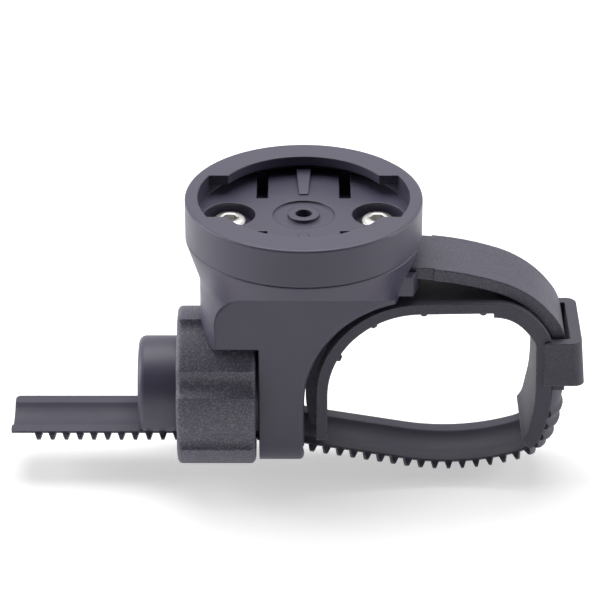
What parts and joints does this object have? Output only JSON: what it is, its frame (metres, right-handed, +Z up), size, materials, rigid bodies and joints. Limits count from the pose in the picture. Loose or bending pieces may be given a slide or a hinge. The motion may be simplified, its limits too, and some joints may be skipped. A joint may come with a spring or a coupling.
{
  "type": "bicycle computer handlebar mount",
  "caption": "Round quarter-turn socket on a moulded bracket, strapped to a handlebar by a toothed band that a lobed knob draws tight, over a rubber liner.",
  "frame": {"origin": "on the axis of the saddle, where the handlebar goes, at the middle of the mount", "axes": "+X from the knob towards the keeper, +Y along the handlebar, away from the camera, +Z up, out of the socket"},
  "size_m": [0.0844, 0.0342, 0.0446],
  "materials": {
    "moulded_nylon": "satin moulded, charcoal with a violet cast",
    "grained_nylon": "spark-grained, charcoal",
    "band_elastomer": "flexible moulded, charcoal",
    "liner_rubber": "matte soft rubber, charcoal",
    "screw_steel": "bright stainless",
    "insert_brass": "turned"
  },
  "bodies": {
    "bracket_body": {"bracket": "moulded_nylon", "socket_cup": "moulded_nylon", "socket_screw_left": "screw_steel", "socket_screw_right": "screw_steel", "insert_left": "insert_brass", "insert_right": "insert_brass", "band": "band_elastomer", "liner": "liner_rubber"},
    "knob_body": {"knob": "grained_nylon"}
  },
  "joints": [
    {"name": "knob_turn", "type": "hinge", "parent": "bracket_body", "child": "knob_body", "pos_m": [-0.0299, 0, -0.0009], "axis": [1, 0, 0], "continuous": true}
  ]
}
